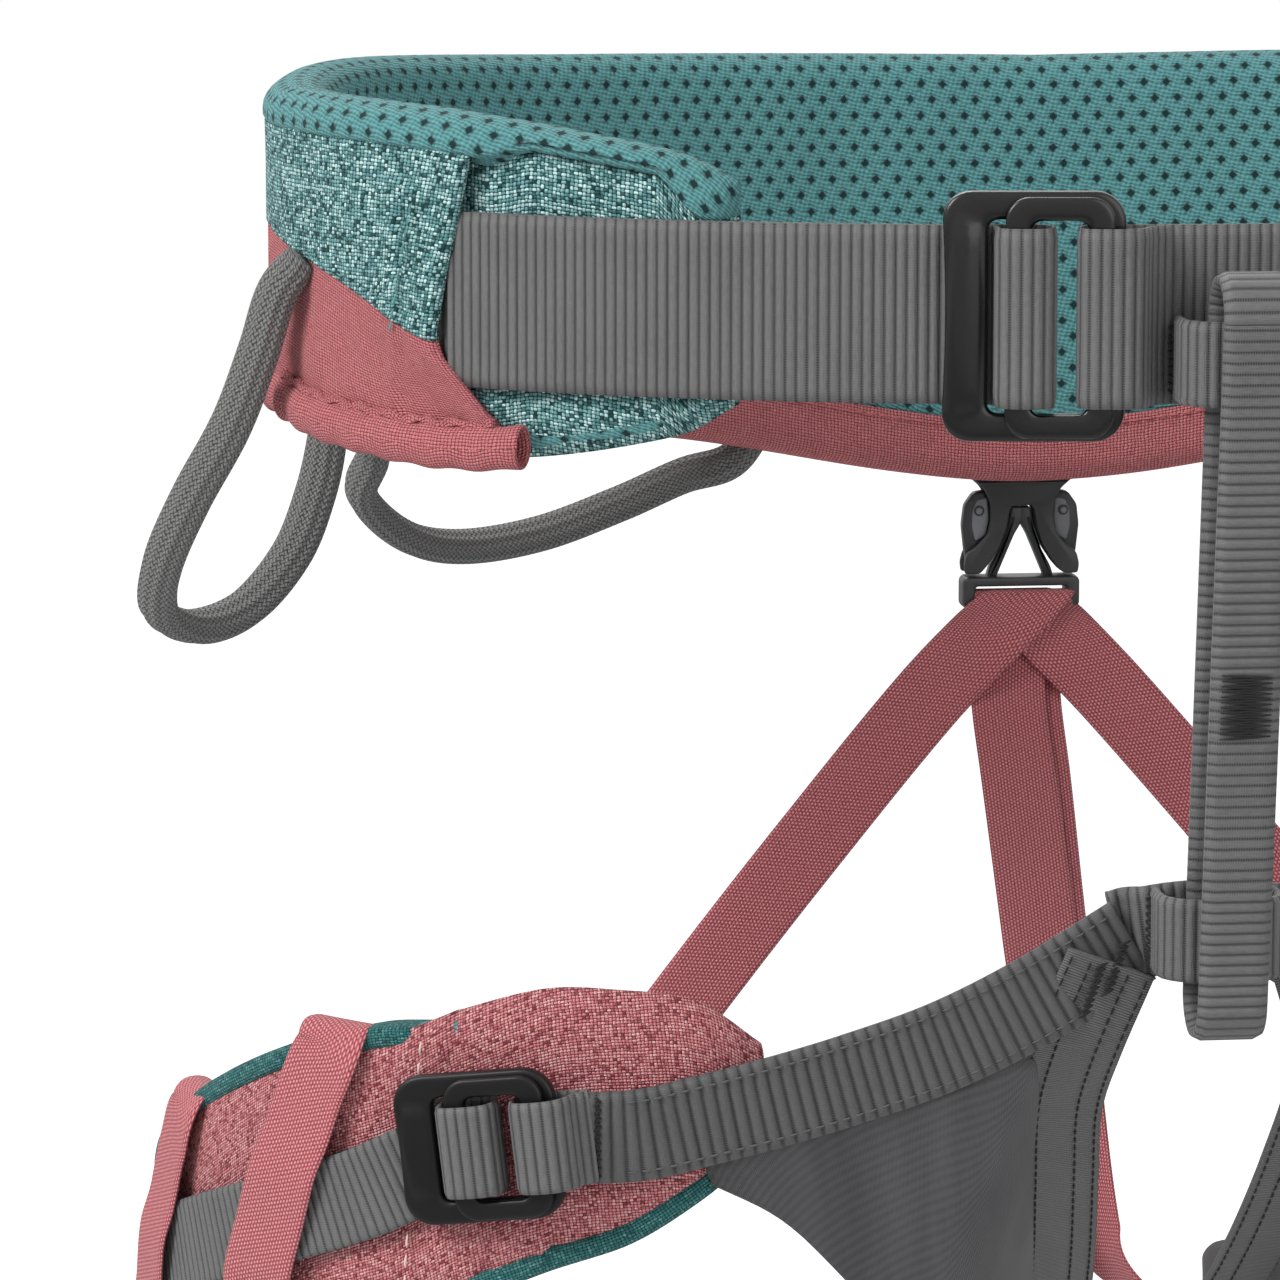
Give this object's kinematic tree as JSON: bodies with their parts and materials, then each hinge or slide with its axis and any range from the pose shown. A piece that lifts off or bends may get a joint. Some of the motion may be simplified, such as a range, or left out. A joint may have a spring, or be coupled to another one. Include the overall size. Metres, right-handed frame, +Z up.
{
  "type": "climbing harness",
  "caption": "Sit harness with a padded waist belt, padded adjustable leg loops, slide-block buckles, gear loops, belay loop and elastic rear risers.",
  "frame": {"origin": "middle of the waist opening in plan, level with the middle of the waist webbing", "axes": "+Z up, -Y the way the wearer faces, +X towards the wearer's left hand"},
  "size_m": [0.4626, 0.2831, 0.3775],
  "materials": {
    "mesh_lining": "three-dimensional spacer mesh, teal",
    "foam": "closed-cell foam",
    "teal_canvas": "heathered coarse plain weave, teal",
    "pink_canvas": "plain-weave canvas, dusty pink",
    "pink_heather": "heathered canvas, dusty pink",
    "grey_webbing": "ribbed polyamide webbing, dark grey",
    "stretch_knit": "smooth stretch knit, dark grey",
    "gear_loop_braid": "braided sleeve, grey",
    "elastic": "woven elastic, dusty pink",
    "buckle_metal": "black anodised, satin to gloss",
    "buckle_plastic": "black moulded acetal",
    "prong_plastic": "dark grey moulded acetal"
  },
  "bodies": {
    "harness": {"waist_lining": "mesh_lining", "waist_foam": "foam", "waist_webbing": "grey_webbing", "waist_outer_shell": "teal_canvas", "waist_lower_panel": "pink_canvas", "centre_webbing": "grey_webbing", "upper_tie_in_loop": "grey_webbing", "lower_tie_in_loop": "grey_webbing", "leg_bridge": "grey_webbing", "rear_buckle_tab": "elastic", "rear_buckle_male": "buckle_plastic", "riser_left": "elastic", "riser_right": "elastic", "tongue_face_left": "teal_canvas", "tongue_face_right": "teal_canvas", "pocket_panel_left": "pink_canvas", "pocket_panel_right": "pink_canvas", "pocket_hem_left": "pink_canvas", "pocket_hem_right": "pink_canvas", "waist_strap_left": "grey_webbing", "waist_strap_right": "grey_webbing", "waist_buckle_frame_left": "buckle_metal", "waist_buckle_frame_right": "buckle_metal"},
    "waist_slider_left": {"waist_buckle_slider_left": "buckle_metal"},
    "waist_slider_right": {"waist_buckle_slider_right": "buckle_metal"},
    "leg_left": {"leg_lining_left": "mesh_lining", "leg_foam_left": "foam", "leg_cover_left": "pink_heather", "leg_webbing_left": "grey_webbing", "leg_strap_left": "grey_webbing", "leg_buckle_frame_left": "buckle_metal", "leg_eye_left": "grey_webbing", "leg_front_webbing_left": "grey_webbing", "leg_inner_strip_left": "grey_webbing", "leg_inner_panel_left": "stretch_knit", "leg_keeper_front_left": "elastic", "leg_keeper_rear_left": "elastic"},
    "leg_slider_left": {"leg_buckle_slider_left": "buckle_metal"},
    "leg_right": {"leg_lining_right": "mesh_lining", "leg_foam_right": "foam", "leg_cover_right": "pink_heather", "leg_webbing_right": "grey_webbing", "leg_strap_right": "grey_webbing", "leg_buckle_frame_right": "buckle_metal", "leg_eye_right": "grey_webbing", "leg_front_webbing_right": "grey_webbing", "leg_inner_strip_right": "grey_webbing", "leg_inner_panel_right": "stretch_knit", "leg_keeper_front_right": "elastic", "leg_keeper_rear_right": "elastic"},
    "leg_slider_right": {"leg_buckle_slider_right": "buckle_metal"},
    "belay_loop": {"belay_loop": "grey_webbing"},
    "gear_loop_front_left": {"gear_loop_front_left": "gear_loop_braid"},
    "gear_loop_front_right": {"gear_loop_front_right": "gear_loop_braid"},
    "gear_loop_rear_left": {"gear_loop_rear_left": "gear_loop_braid"},
    "gear_loop_rear_right": {"gear_loop_rear_right": "gear_loop_braid"},
    "rear_buckle": {"rear_buckle_female": "buckle_plastic"},
    "prong_left": {"rear_prong_left": "prong_plastic"},
    "prong_right": {"rear_prong_right": "prong_plastic"}
  },
  "joints": [
    {"name": "waist_slider_left_slide", "type": "slide", "parent": "harness", "child": "waist_slider_left", "axis": [0.9904, -0.1381, 0], "range_m": [0, 0.003]},
    {"name": "waist_slider_right_slide", "type": "slide", "parent": "harness", "child": "waist_slider_right", "axis": [-0.9904, -0.1381, 0], "range_m": [0, 0.003]},
    {"name": "leg_left_hinge", "type": "hinge", "parent": "harness", "child": "leg_left", "pos_m": [-0.017, -0.105, -0.135], "axis": [1, 0, 0], "range_deg": [0, 18], "deforming": ["riser_left"]},
    {"name": "leg_slider_left_slide", "type": "slide", "parent": "leg_left", "child": "leg_slider_left", "axis": [0.9291, -0.3492, 0.1219], "range_m": [0, 0.002]},
    {"name": "leg_right_hinge", "type": "hinge", "parent": "harness", "child": "leg_right", "pos_m": [0.017, -0.105, -0.135], "axis": [1, 0, 0], "range_deg": [0, 18], "deforming": ["riser_right"]},
    {"name": "leg_slider_right_slide", "type": "slide", "parent": "leg_right", "child": "leg_slider_right", "axis": [-0.9291, -0.3492, 0.1219], "range_m": [0, 0.002]},
    {"name": "belay_loop_swivel", "type": "hinge", "parent": "harness", "child": "belay_loop", "pos_m": [0, -0.139, 0.001], "axis": [0, -0.119, 0.9929], "range_deg": [-12, 12]},
    {"name": "gear_loop_front_left_hinge", "type": "hinge", "parent": "harness", "child": "gear_loop_front_left", "pos_m": [-0.197, -0.03, -0.002], "axis": [0.191, 0.8474, -0.4953], "range_deg": [0, 40]},
    {"name": "gear_loop_front_right_hinge", "type": "hinge", "parent": "harness", "child": "gear_loop_front_right", "pos_m": [0.197, -0.03, -0.002], "axis": [0.191, -0.8474, 0.4953], "range_deg": [0, 40]},
    {"name": "gear_loop_rear_left_hinge", "type": "hinge", "parent": "harness", "child": "gear_loop_rear_left", "pos_m": [-0.1685, 0.058, -0.048], "axis": [0.8555, 0.5087, -0.0971], "range_deg": [0, 10]},
    {"name": "gear_loop_rear_right_hinge", "type": "hinge", "parent": "harness", "child": "gear_loop_rear_right", "pos_m": [0.1685, 0.058, -0.048], "axis": [0.8555, -0.5087, 0.0971], "range_deg": [0, 10]},
    {"name": "rear_buckle_slide", "type": "slide", "parent": "harness", "child": "rear_buckle", "axis": [0, 0, 1], "range_m": [0, 0.02], "deforming": ["rear_buckle_tab"]},
    {"name": "prong_left_flex", "type": "hinge", "parent": "harness", "child": "prong_left", "pos_m": [-0.0118, 0.1305, -0.0896], "axis": [0, 1, 0], "range_deg": [0, 5], "stiffness_Nm_per_rad": 0.5},
    {"name": "prong_right_flex", "type": "hinge", "parent": "harness", "child": "prong_right", "pos_m": [0.0118, 0.1305, -0.0896], "axis": [0, -1, 0], "range_deg": [0, 5], "stiffness_Nm_per_rad": 0.5}
  ]
}
